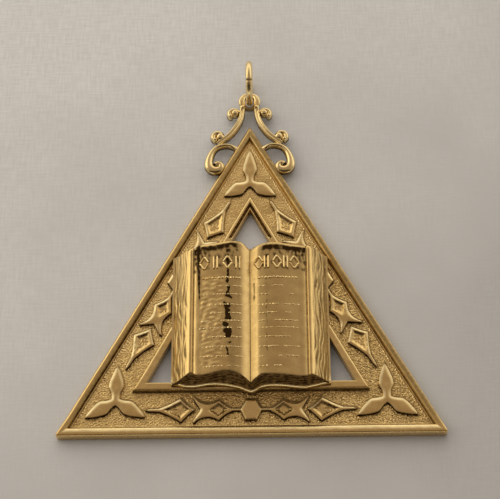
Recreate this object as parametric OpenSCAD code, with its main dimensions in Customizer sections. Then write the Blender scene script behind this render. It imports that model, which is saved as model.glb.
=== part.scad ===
// Triangular officer's jewel in gilt metal, lying on its back.
// A moulded triangle frame carries an applied open book. A scrolled crest is
// soldered over the apex, and a split ring stands in the crest's eye.
// The frame's back is at z = 0, the apex points along +Y, and the origin is
// at the middle of the whole jewel's outline.

/* [Triangle frame] */
// Width of the triangle across its base
tri_w = 76; // [64:0.5:92]
// Height of the triangle from its base to its apex
tri_h = 69; // [58:0.5:84]
// Height of both borders above the back
border_top = 2.5; // [2:0.05:3]
// Thickness of the sunken field
field_z = 1.4; // [1.1:0.05:1.7]
// Width of the outer border's flat top
border_flat = 1; // [0.6:0.05:1.5]
// Width of the outer border's slope down to the field
border_slope = 0.65; // [0.3:0.05:1]
// Bevel along the outer border's outside edge
border_bevel = 0.2; // [0.05:0.05:0.35]
// Width of each side band, from the outside to the inner border
side_band = 8.75; // [7.5:0.05:10]
// Width of the base band, from the outside to the inner border
base_band = 9.15; // [7.5:0.05:10.5]
// Width of the inner border
inner_w = 1.55; // [1.2:0.05:2]
// Bevel along the inner border's outside edge
inner_bevel = 0.25; // [0.1:0.05:0.4]

/* [Rebate in the opening's upper corner] */
// Width of the rebate
rebate_w = 0.5; // [0.3:0.05:0.7]
// Ledge left between the rebate and the opening
rebate_ledge = 0.25; // [0.15:0.05:0.4]
// Depth of the rebate below the inner border's top
rebate_depth = 0.9; // [0.4:0.05:1.2]
// How far the rebate runs down from the opening's upper corner
rebate_run = 6.6; // [4:0.1:8]

/* [Raised ornament on the field] */
// Height of the ornament above the field
relief_h = 0.65; // [0.3:0.05:0.9]
// Radius of the hexagon at the middle of each band, to its corners
hex_r = 2.15; // [1.6:0.05:2.5]
// Distance from the triangle's corner to the middle of its trefoil
trefoil_in = 13.7; // [12:0.1:15]
// Length of a trefoil's petal
petal_len = 7; // [5.5:0.1:8]
// Width of a petal at its widest
petal_w = 2.8; // [2:0.1:3.4]
// Width of a petal at its neck
petal_neck = 0.8; // [0.5:0.05:1.2]
// Width of the stem that leaves the hexagon
stem_w = 0.4; // [0.25:0.05:0.7]
// Width of the chain's lozenges
lozenge_w = 3.9; // [3:0.1:4.4]
// Hollow of the lozenges' curved edges
lozenge_sag = 0.33; // [0.15:0.01:0.45]
// Rim left round the sunk middle of a lozenge
lozenge_rim = 0.55; // [0.4:0.05:0.75]

/* [Open book] */
// Width of each page
page_w = 11.5; // [10:0.1:13]
// Length of the pages
page_len = 28.4; // [24:0.1:30]
// Height of the gutter between the pages, above the book's back
gutter_h = 1.7; // [1.3:0.05:2.2]
// Height of the pages' crest above the book's back
crest_h = 5.3; // [4.6:0.05:6]
// Height of the pages' outer edge above the book's back
page_edge_h = 3.7; // [3.2:0.05:4.2]
// Width of the leaf edges that show beside each page
leaves_w = 3.9; // [2.5:0.1:4.5]
// Depth of the ripples in the leaf edges
ripple = 0.22; // [0.05:0.01:0.3]
// Thickness of the cover
cover_t = 0.9; // [0.6:0.05:1.1]
// How far the cover stands out past the pages and their leaf edges
cover_lip = 0.55; // [0.3:0.05:0.9]
// How far the rounded spine stands out past the cover's foot
spine_bulge = 0.9; // [0.4:0.05:1.2]
// Width of the rounded spine
spine_w = 7; // [4:0.1:9]
// How far the cover reaches over the inner border's base bar
book_seat = 1; // [0.6:0.05:1.3]
// Height of the raised lines on the pages
line_h = 0.14; // [0.08:0.01:0.25]
// Width of a raised line
line_w = 0.5; // [0.3:0.05:0.7]
// Distance from one raised line to the next
line_pitch = 1.86; // [1.6:0.02:2.1]

/* [Crest] */
// Height of the eye's middle above the triangle's apex
eye_rise = 5.85; // [5.2:0.05:6.4]
// Outer radius of the eye
eye_r = 2.3; // [2.2:0.05:2.5]
// Half the clear width of the eye
eye_gap = 1.05; // [0.95:0.01:1.15]
// Radius of the round wire across the eye's top
eye_wire = 0.5; // [0.4:0.01:0.55]
// Thickness of the bar across the eye's foot
eye_bar = 0.48; // [0.35:0.01:0.55]
// Height of the crest's mid plane above the back
crest_z = 2.35; // [2.25:0.05:2.6]
// Thickness of the scrollwork
scroll_t = 1.6; // [1.2:0.05:2]
// Width of the scrollwork's bands
scroll_w = 1.15; // [1:0.05:1.25]
// Reach of the arms to each side
arm_reach = 7; // [6.5:0.1:7.5]
// Drop of the arms' ends below the apex
arm_drop = 4.4; // [4:0.1:4.6]
// Mid radius of the large side scrolls
side_scroll_r = 3.35; // [3.1:0.05:3.6]
// Mid radius of the curl that ends each side scroll
side_curl_r = 1.1; // [1:0.05:1.2]
// Mid radius of the small curls
curl_r = 0.95; // [0.85:0.05:1.05]

/* [Split ring] */
// Mid radius of the ring
ring_r = 4.1; // [3.8:0.05:4.4]
// Radius of the ring's wire
ring_wire = 0.7; // [0.6:0.01:0.74]
// Width of the split
split_w = 0.25; // [0.1:0.05:0.5]
// Place of the split round the standing ring, from the apex side upwards
split_at = 113; // [60:1:150]

/* [Rivets behind the book] */
// Radius of a rivet's shank
rivet_r = 0.8; // [0.6:0.05:0.95]
// Radius of a rivet's head
rivet_head_r = 1.4; // [1.2:0.05:1.6]
// Thickness of a rivet's head
rivet_head_t = 0.5; // [0.35:0.05:0.6]
// How deep a rivet reaches into the book
rivet_bite = 2.2; // [1.2:0.1:2.6]
// Height of the rivets above the triangle's base
rivet_up = 35; // [33:0.1:37]
// Distance of the rivets from the triangle's sides
rivet_in = 6.4; // [6.2:0.05:6.9]

/* [Clearances] */
// Gap between the book and the borders it lies on
seat_gap = 0.06; // [0.03:0.01:0.1]
// Gap round the rivets
rivet_gap = 0.06; // [0.03:0.01:0.1]
// Gap between the split ring and the eye's wire
ring_gap = 0.07; // [0.04:0.01:0.1]

/* [Hidden] */
$fn = 96;
over = 1;
gold = [0.83, 0.66, 0.36];
pale_gold = [0.88, 0.72, 0.42];
dull_gold = [0.66, 0.5, 0.26];

// Derived sizes of the triangle, measured from the middle of its base line
half_w = tri_w / 2;
side_len = norm([half_w, tri_h]);
side_tilt = atan2(tri_h, half_w);
border_w = border_flat + border_slope;
open_side = side_band + inner_w;
open_base = base_band + inner_w;
relief_top = field_z + relief_h;
sink_z = 0.12;
root_z = 0.3;

// Place of a point on the right side line at height y, moved in by some width
function side_x(y, in) = (half_w * (tri_h - y) - in * side_len) / tri_h;

// Corners of the triangle moved in by one width at the sides, another at the base
function inset_tri(side_in, base_in) = [
    [-side_x(base_in, side_in), base_in],
    [side_x(base_in, side_in), base_in],
    [0, tri_h - side_in * side_len / half_w]
];

// Start point, direction and inset from the base line of the three sides
sides = [
    ["base", [-half_w, 0], 0],
    ["right", [half_w, 0], 180 - side_tilt],
    ["left", [0, tri_h], 180 + side_tilt]
];

// Solid with one profile, of [inset, height] points, all round its three sides
module tri_solid(base_profile, side_profile) {
    intersection_for (side = sides) {
        translate([side[1].x, side[1].y, 0])
            rotate([0, 0, side[2]])
                rotate([90, 0, 90])
                    translate([0, 0, -side_len])
                        linear_extrude(3 * side_len)
                            polygon(side[0] == "base" ? base_profile : side_profile);
    }
}

// Profile that starts at an inset with a bevelled top edge and runs inward
function raised_profile(in, top, bevel) = [
    [in, 0], [in, top - bevel], [in + bevel, top], [tri_h, top], [tri_h, 0]
];

// Profile of the sunken field's hollow
sunk_profile = [
    [border_flat, border_top], [border_w, field_z], [tri_h, field_z],
    [tri_h, border_top + over], [border_flat, border_top + over]
];

module opening() {
    translate([0, 0, -over])
        linear_extrude(border_top + 2 * over)
            polygon(inset_tri(open_side, open_base));
}

// Step cut into the inner border round the opening's upper corner
module rebate() {
    top = tri_h - open_side * side_len / half_w;
    outer = open_side - rebate_ledge;
    intersection() {
        translate([0, 0, border_top - rebate_depth])
            linear_extrude(rebate_depth + over)
                difference() {
                    polygon(inset_tri(outer - rebate_w, open_base));
                    polygon(inset_tri(outer, open_base));
                }
        translate([-half_w, top - rebate_run, 0])
            cube([tri_w, tri_h, border_top + over]);
    }
    ledge_drop = 0.35;
    translate([0, 0, border_top - ledge_drop])
        linear_extrude(ledge_drop + over)
            intersection() {
                polygon(inset_tri(outer - over / 100, open_base));
                translate([-half_w, top - rebate_run])
                    square([tri_w, tri_h]);
            }
}

// Middle of a chord, moved off it by some distance to its left
function off_chord(p, q, by) = (p + q) / 2 + by * [p.y - q.y, q.x - p.x] / norm(q - p);
function arc_radius(p, q, sag) = (norm(q - p) * norm(q - p) / 4 + sag * sag) / (2 * sag);

// Round cutter that hollows the edge from p to q by sag, from the left of it
module hollow_edge(p, q, sag) {
    r = arc_radius(p, q, sag);
    translate(off_chord(p, q, r - sag))
        circle(r = r);
}

// Places along a chain, as shares of its reach from the hexagon
chain_start = 0.126;
chain_first = 0.302;
chain_notch = 0.469;
chain_tail = 0.531;
chain_second = 0.657;
tail_spread = 1.08;
tail_sag = 2.3;
recess_1 = [0.262, 0.327, 0.385];
recess_2 = [0.585, 0.68, 0.835];

// Cuts both edges of its child hollow, from p to q and on from q to r
module hollow_edges(p, q, r, sag_1, sag_2) {
    difference() {
        children();
        for (m = [0, 1])
            mirror([0, m]) {
                hollow_edge(p, q, sag_1);
                hollow_edge(q, r, sag_2);
            }
    }
}

// Lozenge next to the hexagon, which ends in two tails
module tailed_lozenge(reach) {
    h = lozenge_w / 2;
    blank_h = h * tail_spread + 0.3;
    notch = chain_notch * reach;
    hollow_edges([chain_start * reach, 0], [chain_first * reach, h],
        [chain_tail * reach, h * tail_spread], lozenge_sag, lozenge_sag * tail_sag) {
        blank_end = notch + (chain_tail * reach - notch) * blank_h / (h * tail_spread);
        polygon([
            [(chain_start + 0.02) * reach, -blank_h], [(chain_start + 0.02) * reach, blank_h],
            [blank_end, blank_h], [notch, 0], [blank_end, -blank_h]
        ]);
    }
}

// Lozenge that runs out in a long point
module long_lozenge(reach) {
    h = lozenge_w / 2;
    from = chain_tail * reach - 0.2;
    hollow_edges([chain_tail * reach, 0], [chain_second * reach, h], [reach, 0],
        lozenge_sag, lozenge_sag)
        translate([from, -h - 0.2])
            square([reach + 0.2 - from, 2 * h + 0.4]);
}

module diamond(share, reach) {
    h = 0.8 * (lozenge_w / 2 - lozenge_rim);
    polygon([
        [share[0] * reach, 0], [share[1] * reach, h],
        [share[2] * reach, 0], [share[1] * reach, -h]
    ]);
}

// Chain of a band, with its hexagon at the middle
module chain(reach) {
    difference() {
        translate([0, 0, field_z - root_z])
            linear_extrude(relief_h + root_z) {
                square([(chain_start + chain_first) * reach, stem_w], center = true);
                for (m = [0, 1])
                    mirror([m, 0]) {
                        tailed_lozenge(reach);
                        long_lozenge(reach);
                    }
            }
        translate([0, 0, field_z + sink_z])
            linear_extrude(relief_h + over)
                for (m = [0, 1])
                    mirror([m, 0]) {
                        diamond(recess_1, reach);
                        diamond(recess_2, reach);
                    }
    }
    translate([0, 0, field_z - root_z])
        linear_extrude(relief_h + root_z + sink_z)
            circle(r = hex_r, $fn = 6);
}

// Petal as [share of its length, share of its half width] points
petal_shape = [
    [0.17, 0], [0.36, 1], [0.62, 0.76]
];

module petal() {
    neck = petal_neck / 2;
    wide = petal_w / 2;
    polygon([
        [0, neck],
        [petal_shape[0][0] * petal_len, neck],
        [petal_shape[1][0] * petal_len, wide * petal_shape[1][1]],
        [petal_shape[2][0] * petal_len, wide * petal_shape[2][1]],
        [petal_len, 0],
        [petal_shape[2][0] * petal_len, -wide * petal_shape[2][1]],
        [petal_shape[1][0] * petal_len, -wide * petal_shape[1][1]],
        [petal_shape[0][0] * petal_len, -neck],
        [0, -neck]
    ]);
}

module trefoil() {
    translate([0, 0, field_z - root_z])
        linear_extrude(relief_h + root_z)
            for (turn = [90, 210, 330])
                rotate(turn)
                    petal();
}

// Middles of the trefoils, on the lines that halve the corners
base_mid = [(half_w - trefoil_in * cos(side_tilt / 2)), trefoil_in * sin(side_tilt / 2)];
apex_mid = [0, tri_h - trefoil_in];
petal_out = petal_len * cos(30);
base_reach = base_mid.x - petal_out + stem_w;
side_reach = side_len / 2 - trefoil_in * cos(side_tilt / 2) - petal_out + stem_w;
chain_in = (border_w + side_band) / 2;
chain_base_in = (border_w + base_band) / 2;

module ornament() {
    translate([0, chain_base_in, 0])
        chain(base_reach);
    for (m = [0, 1])
        mirror([m, 0]) {
            translate([side_x(tri_h / 2, chain_in), tri_h / 2, 0])
                rotate([0, 0, 180 - side_tilt])
                    chain(side_reach);
            translate([base_mid.x, base_mid.y, 0])
                trefoil();
        }
    translate([apex_mid.x, apex_mid.y, 0])
        trefoil();
}

// Cross-section of a scroll's band: domed by bevels, with a groove along its top
function band_profile(w, t) = [
    [-w / 2, -t / 2], [w / 2, -t / 2], [w / 2, t * 0.2], [w * 0.3, t / 2],
    [w * 0.12, t / 2], [0, t * 0.36], [-w * 0.12, t / 2], [-w * 0.3, t / 2], [-w / 2, t * 0.2]
];

// Band of scrollwork round a centre, from one angle to another
module band(center, r, from, to, w = scroll_w) {
    translate([center.x, center.y, crest_z])
        rotate([0, 0, from])
            rotate_extrude(angle = to - from)
                translate([r, 0])
                    polygon(band_profile(w, scroll_t));
}

// Domed button on a curl's end, at some angle round the curl's centre
module knob(center, r, angle, button_r) {
    translate([center.x, center.y, crest_z])
        rotate([0, 0, angle])
            translate([r, 0, -scroll_t * 0.45]) {
                cylinder(r = button_r, h = scroll_t * 0.7);
                translate([0, 0, scroll_t * 0.7])
                    cylinder(r1 = button_r, r2 = button_r * 0.45, h = scroll_t * 0.3);
            }
}

function heading(v) = (atan2(v.y, v.x) + 360) % 360;

// Eye: thick cheeks, a round wire over the top and a thin bar at the foot
eye_mid = [0, tri_h + eye_rise];
eye_wire_r = eye_r - eye_wire;
pivot = [0, eye_mid.y + eye_wire_r];
cheek_turn = 38;
cheek_t = 1.3;
cheek_r = eye_r + 0.05;
cheek_bevel = 0.2;
bar_t = 0.9;

module eye() {
    translate([eye_mid.x, eye_mid.y, crest_z]) {
        for (start = [-cheek_turn, 180 - cheek_turn])
            rotate([0, 0, start])
                rotate_extrude(angle = 2 * cheek_turn)
                    polygon([
                        [eye_gap, -cheek_t * 0.3], [eye_gap + cheek_bevel, -cheek_t / 2],
                        [cheek_r - cheek_bevel, -cheek_t / 2], [cheek_r, -cheek_t * 0.3],
                        [cheek_r, cheek_t * 0.3], [cheek_r - cheek_bevel, cheek_t / 2],
                        [eye_gap + cheek_bevel, cheek_t / 2], [eye_gap, cheek_t * 0.3]
                    ]);
        rotate([0, 0, cheek_turn - 4])
            rotate_extrude(angle = 188 - 2 * cheek_turn)
                translate([eye_wire_r, 0])
                    circle(r = eye_wire);
        rotate([0, 0, 176 + cheek_turn])
            rotate_extrude(angle = 188 - 2 * cheek_turn)
                translate([eye_r - eye_bar, -bar_t / 2])
                    square([eye_bar, bar_t]);
    }
}

// Arm from the eye's foot out to the side scroll
arm_top = [eye_r * 0.7, eye_mid.y - eye_r * 0.48];
arm_end = [arm_reach, tri_h - arm_drop];
arm_sag = 1.9;
arm_r = arc_radius(arm_top, arm_end, arm_sag);
arm_mid = off_chord(arm_top, arm_end, arm_r - arm_sag);
arm_from = heading(arm_top - arm_mid);
arm_to = heading(arm_end - arm_mid);

// Side scroll, whose middle keeps its distance from the frame's side
scroll_drop = 8.15;
scroll_off = 1.1;
scroll_mid = [side_x(tri_h - scroll_drop, -scroll_off), tri_h - scroll_drop];
curl_drop = 9.95;
curl_off = side_curl_r + 0.3;
curl_mid = [side_x(tri_h - curl_drop, -curl_off), tri_h - curl_drop];
upper_curl = [3.35, tri_h + 2.5];
middle_curl = [arm_reach + 0.05, tri_h - 2.4];

// Curl that ends in a button just past the start of its band
module curl(center, r, from, to) {
    past = 14;
    band(center, r, from, to);
    knob(center, r, from - past, scroll_w * 0.6);
}

module half_crest() {
    band(arm_mid, arm_r, arm_from, arm_to);
    band(scroll_mid, side_scroll_r, -45, 150);
    curl(curl_mid, side_curl_r, 60, 345);
    curl(upper_curl, curl_r, -45, 205);
    curl(middle_curl, curl_r, -45, 240);
}

module crest() {
    eye();
    for (m = [0, 1])
        mirror([m, 0])
            half_crest();
}

// Rivets stand in the side bands, under the book
rivet_x = side_x(rivet_up, rivet_in);
book_z = border_top + seat_gap;
rivet_sink = 0.05;

module rivet_holes(from, to, r) {
    for (s = [-1, 1])
        translate([s * rivet_x, rivet_up, from])
            cylinder(r = r, h = to - from);
}

module place() {
    translate([0, -whole_len / 2, 0])
        children();
}

module frame() {
    color(gold)
        place()
            difference() {
                union() {
                    difference() {
                        tri_solid(raised_profile(0, border_top, border_bevel),
                            raised_profile(0, border_top, border_bevel));
                        tri_solid(sunk_profile, sunk_profile);
                    }
                    tri_solid(raised_profile(base_band, border_top, inner_bevel),
                        raised_profile(side_band, border_top, inner_bevel));
                    ornament();
                    crest();
                }
                opening();
                rebate();
                rivet_holes(-over, border_top + over, rivet_r + rivet_gap);
                rivet_holes(-over, rivet_head_t + rivet_sink + rivet_gap, rivet_head_r + rivet_gap);
            }
}

// Book, measured from its own back and from its spine
book_foot = open_base - book_seat;
page_foot = book_foot + cover_lip;
crest_at = 0.38;
page_steps = 18;

// Height of a page above the book's back, at a share of its width
function page_rise(t) = t < crest_at
    ? gutter_h + (crest_h - gutter_h) * sin(90 * t / crest_at)
    : page_edge_h + (crest_h - page_edge_h) * (1 + cos(180 * min(1, (t - crest_at) / 0.5))) / 2;

function page_top(extra) = [
    for (i = [0:page_steps]) [page_w * i / page_steps, page_rise(i / page_steps) + extra]
];

// Leaf edges fall from the page's rim to the cover in ripples
leaf_steps = 6;
shoulder = 0.3;
leaf_drop = page_edge_h - shoulder * ripple - cover_t;
function leaf_point(i) = [
    page_w + leaves_w * (shoulder + (1 - shoulder) * i / leaf_steps),
    page_edge_h - ripple - (leaf_drop - ripple) * i / leaf_steps
];
leaf_edges = [
    for (i = [0:leaf_steps - 1], side = [0, 1])
        leaf_point(i + 0.5 * side) + (side == 0 ? [ripple, ripple] : [-ripple, -ripple])
];

half_block = concat(
    [[0, 0]], page_top(0),
    [[page_w + 0.1, page_edge_h - ripple], [page_w + 0.3, page_edge_h]],
    leaf_edges,
    [[page_w + leaves_w, cover_t], [page_w + leaves_w, 0]]
);

// Stretch of a profile along the book, from one distance above its foot to another
module along(from, to) {
    translate([0, page_foot + to, book_z])
        rotate([90, 0, 0])
            linear_extrude(to - from)
                children();
}

module cover() {
    spine_r = arc_radius([0, 0], [spine_w, 0], spine_bulge);
    half_cover = page_w + leaves_w + 0.3;
    length = page_len + 2 * cover_lip;
    translate([0, book_foot, book_z])
        linear_extrude(cover_t) {
            translate([-half_cover, 0])
                square([2 * half_cover, length]);
            intersection() {
                translate([0, spine_r - spine_bulge])
                    circle(r = spine_r);
                translate([-spine_w, -2 * spine_bulge])
                    square([2 * spine_w, 2 * spine_bulge + cover_lip]);
            }
        }
}

// Raised lines, as rows of [start, end] shares of the page's width
line_rows = [
    ["even", [[0.14, 0.5], [0.55, 0.86]]],
    ["odd", [[0.12, 0.36], [0.42, 0.74], [0.79, 0.88]]]
];
rows = 11;
head_room = 8.1;
first_row = page_len - head_room;

module page_slice(from, to) {
    translate([page_w * from, 0])
        square([page_w * (to - from), crest_h + over]);
}

module raised_lines() {
    for (i = [0:rows - 1])
        let (y = first_row - i * line_pitch)
            if (y > line_w)
                along(y - line_w / 2, y + line_w / 2)
                    intersection() {
                        polygon(concat(page_top(line_h), [[page_w, gutter_h / 2], [0, gutter_h / 2]]));
                        union()
                            for (span = line_rows[i % 2][1])
                                page_slice(span[0], span[1]);
                    }
}

// Title zone of plain lozenges between two fine lines
head_y = page_len - 4.6;
head_h = 2.6;
module title_zone() {
    intersection() {
        along(head_y - head_h, head_y + head_h)
            polygon(concat(page_top(line_h), [[page_w, gutter_h / 2], [0, gutter_h / 2]]));
        translate([0, page_foot + head_y, book_z])
            linear_extrude(crest_h + over) {
                for (share = [0.3, 0.5, 0.7])
                    translate([page_w * share, 0])
                        polygon([[-0.9, 0], [0, 1.25], [0.9, 0], [0, -1.25]]);
                for (s = [-1, 1])
                    translate([page_w * 0.18, s * 1.9 - line_w / 4])
                        square([page_w * 0.64, line_w / 2]);
            }
    }
}

module book() {
    color(pale_gold)
        place()
            difference() {
                union() {
                    cover();
                    for (m = [0, 1])
                        mirror([m, 0]) {
                            along(0, page_len)
                                polygon(half_block);
                            raised_lines();
                            title_zone();
                        }
                }
                rivet_holes(book_z - over, book_z + rivet_bite + rivet_gap, rivet_r + rivet_gap);
            }
}

// Rivet with a flush head at the frame's back
module rivet(side) {
    color(dull_gold)
        place()
            translate([side * rivet_x, rivet_up, rivet_sink]) {
                cylinder(r = rivet_head_r, h = rivet_head_t);
                cylinder(r = rivet_r, h = book_z + rivet_bite - rivet_sink);
            }
}

module rivet_left() {
    rivet(-1);
}

module rivet_right() {
    rivet(1);
}

// Ring, which hangs on the eye's wire and stands on the surface under the jewel
ring_out = ring_r + ring_wire;
hang = ring_r - ring_wire - eye_wire - ring_gap;
lean = asin((ring_out - crest_z) / hang);
ring_mid = [pivot.y + hang * cos(lean), ring_out];
whole_len = ring_mid[0] + ring_out;
split_turn = 2 * asin(split_w / (2 * ring_r));

module jump_ring() {
    color(gold)
        place()
            translate([0, ring_mid[0], ring_mid[1]])
                rotate([90, 0, 90])
                    rotate([0, 0, split_at + split_turn / 2])
                        rotate_extrude(angle = 360 - split_turn)
                            translate([ring_r, 0])
                                circle(r = ring_wire);
}

frame();
book();
rivet_left();
rivet_right();
jump_ring();
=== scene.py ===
import math
import bpy
import numpy as np
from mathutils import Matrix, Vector, geometry


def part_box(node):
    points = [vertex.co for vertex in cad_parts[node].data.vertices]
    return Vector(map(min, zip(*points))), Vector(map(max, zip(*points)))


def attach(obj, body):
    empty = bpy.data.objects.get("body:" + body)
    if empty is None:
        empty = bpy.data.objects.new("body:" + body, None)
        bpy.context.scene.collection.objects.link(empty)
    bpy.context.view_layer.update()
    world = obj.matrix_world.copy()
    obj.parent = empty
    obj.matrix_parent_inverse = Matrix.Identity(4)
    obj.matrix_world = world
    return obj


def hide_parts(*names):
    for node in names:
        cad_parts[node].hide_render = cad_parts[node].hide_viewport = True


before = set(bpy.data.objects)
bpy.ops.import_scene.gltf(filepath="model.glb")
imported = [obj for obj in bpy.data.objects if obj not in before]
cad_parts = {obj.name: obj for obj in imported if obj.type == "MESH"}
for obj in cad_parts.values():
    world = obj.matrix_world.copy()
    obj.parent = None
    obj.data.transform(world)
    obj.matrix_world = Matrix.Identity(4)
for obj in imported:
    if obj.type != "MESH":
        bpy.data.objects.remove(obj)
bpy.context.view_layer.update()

mm = 0.001
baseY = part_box("frame")[0].y / mm    # the triangle's base line, all heights below are from it


def waves(x, y, pitch, count, seed, spread=0.35):
    # grain with one main pitch, the same on every run
    rng = np.random.default_rng(seed)
    total = np.zeros(np.shape(x))
    for _ in range(count):
        turn = rng.uniform(0, 2 * math.pi)
        k = 2 * math.pi / (pitch * rng.uniform(1 - spread, 1 + spread))
        total += np.cos(k * (math.cos(turn) * x + math.sin(turn) * y) + rng.uniform(0, 2 * math.pi))
    return total / math.sqrt(count / 2)


def smooth(edge0, edge1, v):
    t = np.clip((v - edge0) / (edge1 - edge0), 0, 1)
    return t * t * (3 - 2 * t)


def between(v, rise, risen, fall, fallen):
    return smooth(rise, risen, v) * (1 - smooth(fall, fallen, v))


def stripe(v, middle, wide):
    return np.exp(-((v - middle) / wide) ** 2)


def gridFaces(rows, cols, wrapRows=False, wrapCols=False):
    faces = []
    for i in range(rows if wrapRows else rows - 1):
        a, b = i * cols, ((i + 1) % rows) * cols
        for j in range(cols if wrapCols else cols - 1):
            k = (j + 1) % cols
            faces.append((a + j, a + k, b + k, b + j))
    return faces


def tubeFaces(rows, cols):
    # a tube closed at both ends
    last = (rows - 1) * cols
    ends = [tuple(reversed(range(cols))), tuple(range(last, last + cols))]
    return gridFaces(rows, cols, wrapCols=True) + ends


def blockFaces(rows, cols):
    # a block under a sheet whose first and last rows lie on its underside
    last = (rows - 1) * cols
    faces = gridFaces(rows, cols)
    faces += [(last + j, last + j + 1, j + 1, j) for j in range(cols - 1)]
    faces.append(tuple(i * cols for i in range(rows)))
    faces.append(tuple(i * cols + cols - 1 for i in reversed(range(rows))))
    return faces


def turnedOut(verts, faces):
    # the same faces, all pointing out of their closed shell
    v = np.array(verts, float)
    tri = np.array([(f[0], f[i], f[i + 1]) for f in faces for i in range(1, len(f) - 1)])
    volume = (v[tri[:, 0]] * np.cross(v[tri[:, 1]], v[tri[:, 2]])).sum()
    return faces if volume > 0 else [tuple(reversed(f)) for f in faces]


class Shells:
    # gathers several closed shells into one piece
    def __init__(self):
        self.verts, self.faces, self.tone = [], [], []

    def add(self, verts, faces, tone):
        first = len(self.verts)
        self.verts += [tuple(v) for v in verts]
        self.faces += [tuple(first + i for i in f) for f in turnedOut(verts, faces)]
        self.tone += list(tone)

    def shape(self):
        return self.verts, self.faces, np.array(self.tone)


def setValues(mesh, name, values):
    mesh.attributes.new(name, "FLOAT", "POINT").data.foreach_set("value", values.astype(np.float32))


def addPiece(name, shape, material, sharp, body="jewel"):
    # points in mm with y from the base line; tone is above 0 on toned metal and painted shade, below 0 on
    # worn metal and painted highlights
    verts, faces, tone = shape
    co = np.array(verts, float)
    co[:, 1] += baseY
    mesh = bpy.data.meshes.new(name)
    mesh.from_pydata((co * mm).tolist(), [], [list(map(int, f)) for f in turnedOut(verts, faces)])
    mesh.update()
    mesh.validate()
    setValues(mesh, "tone", np.clip(tone, -1, 1.4))
    mesh.shade_smooth()
    mesh.set_sharp_from_angle(angle=math.radians(sharp))
    mesh.materials.append(material)
    piece = bpy.data.objects.new(name, mesh)
    bpy.context.scene.collection.objects.link(piece)
    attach(piece, body)
    return piece


def newNode(tree, kind, inputs=(), **settings):
    # a node with its sockets set: a socket is linked, anything else is typed in
    node = tree.nodes.new("ShaderNode" + kind)
    for name, value in settings.items():
        setattr(node, name, value)
    for key, value in dict(inputs).items():
        socket = node.inputs[key]
        if isinstance(value, bpy.types.NodeSocket):
            tree.links.new(value, socket)
        else:
            socket.default_value = (*value, 1) if socket.type == "RGBA" else value
    return node


def noise(tree, place, scale, detail):
    return newNode(tree, "TexNoise", {"Scale": scale, "Detail": detail, "Vector": place}).outputs["Fac"]


def stretched(tree, place, scale):
    return newNode(tree, "Mapping", {"Scale": scale, "Vector": place}).outputs[0]


def remap(tree, value, low, high, fromLow=0.3, fromHigh=0.7, step="LINEAR"):
    sockets = {"Value": value, "From Min": fromLow, "From Max": fromHigh, "To Min": low, "To Max": high}
    return newNode(tree, "MapRange", sockets, interpolation_type=step).outputs["Result"]


def mixed(tree, factor, a, b):
    return newNode(tree, "Mix", {"Factor": factor, "A": a, "B": b}, data_type="RGBA").outputs["Result"]


def maths(tree, operation, *values, clamp=False):
    return newNode(tree, "Math", enumerate(values), operation=operation, use_clamp=clamp).outputs[0]


def dotWith(tree, vector, direction):
    return newNode(tree, "VectorMath", {0: vector, 1: direction}, operation="DOT_PRODUCT").outputs["Value"]


def raised(tree, height, deep, under=None):
    sockets = {"Strength": 1.0, "Distance": deep * mm, "Height": height}
    if under:
        sockets["Normal"] = under
    return newNode(tree, "Bump", sockets).outputs[0]


gilt = dict(
    gold=(0.88, 0.643, 0.295), warm=(0.83, 0.59, 0.25),
    field=(0.94, 0.69, 0.315), fieldWarm=(0.89, 0.635, 0.27),
    # page is a slightly darker copy of the gilt: painted shade on the pages
    page=(0.82, 0.59, 0.265), pageWarm=(0.78, 0.555, 0.24),
    # bright is a lighter copy of the gilt: painted light on the crest, cover, raised lines and ring
    bright=(0.96, 0.78, 0.43), brightWarm=(0.92, 0.71, 0.36),
    rivet=(0.78, 0.52, 0.2), rivetWarm=(0.66, 0.42, 0.15),
    # the light colour serves wear and painted highlights, the dark one toning and painted shade
    wearAndHighlight=(0.98, 0.81, 0.47), darkToneAndShade=(0.06, 0.032, 0.011), tonedRough=0.5,
    punchScale=3.3, scratchStretch=(0.35, 9.0, 9.0),
)


def giltFinish(name, gold, warm, rough, roughVary, grainSize, grainDeep, scratch=0.0, punched=0.0):
    material = bpy.data.materials.new(name)
    material.use_nodes = True
    tree = material.node_tree
    metal = tree.nodes["Principled BSDF"]
    metal.inputs["Metallic"].default_value = 1.0
    place = stretched(tree, newNode(tree, "TexCoord").outputs["Object"], (1 / mm, 1 / mm, 1 / mm))

    tone = newNode(tree, "Attribute", attribute_name="tone").outputs["Fac"]
    uneven = maths(tree, "MULTIPLY", tone, remap(tree, noise(tree, place, 1.6, 4.0), 0.7, 1.25))
    toningAndShade = remap(tree, uneven, 0, 1, 0, 1)    # broken up, as dirt and old lacquer are; this dark mix also lays on painted shade
    wearAndHighlightMix = remap(tree, tone, 0, 1, 0, -1)
    plating = mixed(tree, remap(tree, noise(tree, place, 0.16, 2.0), 0, 1), gold, warm)
    plating = mixed(tree, wearAndHighlightMix, plating, gilt["wearAndHighlight"])    # buffed edges are brighter; this light mix also lays on painted highlights
    tree.links.new(mixed(tree, toningAndShade, plating, gilt["darkToneAndShade"]), metal.inputs["Base Color"])
    buffing = remap(tree, noise(tree, place, 0.9, 4.0), rough - roughVary, rough + roughVary)
    duller = maths(tree, "MULTIPLY_ADD", toningAndShade, gilt["tonedRough"], buffing)
    tree.links.new(duller, metal.inputs["Roughness"])

    normal = raised(tree, noise(tree, place, grainSize, 2.0), grainDeep)
    if punched:
        dots = newNode(tree, "TexVoronoi", {"Scale": gilt["punchScale"], "Vector": place})
        share = newNode(tree, "Attribute", attribute_name="grain")
        depth = maths(tree, "MULTIPLY", dots.outputs["Distance"], share.outputs["Fac"])
        normal = raised(tree, depth, punched, normal)
    if scratch:
        lines = noise(tree, stretched(tree, place, gilt["scratchStretch"]), 1.0, 2.0)
        normal = raised(tree, lines, scratch, normal)
    tree.links.new(normal, metal.inputs["Normal"])
    return material


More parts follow.
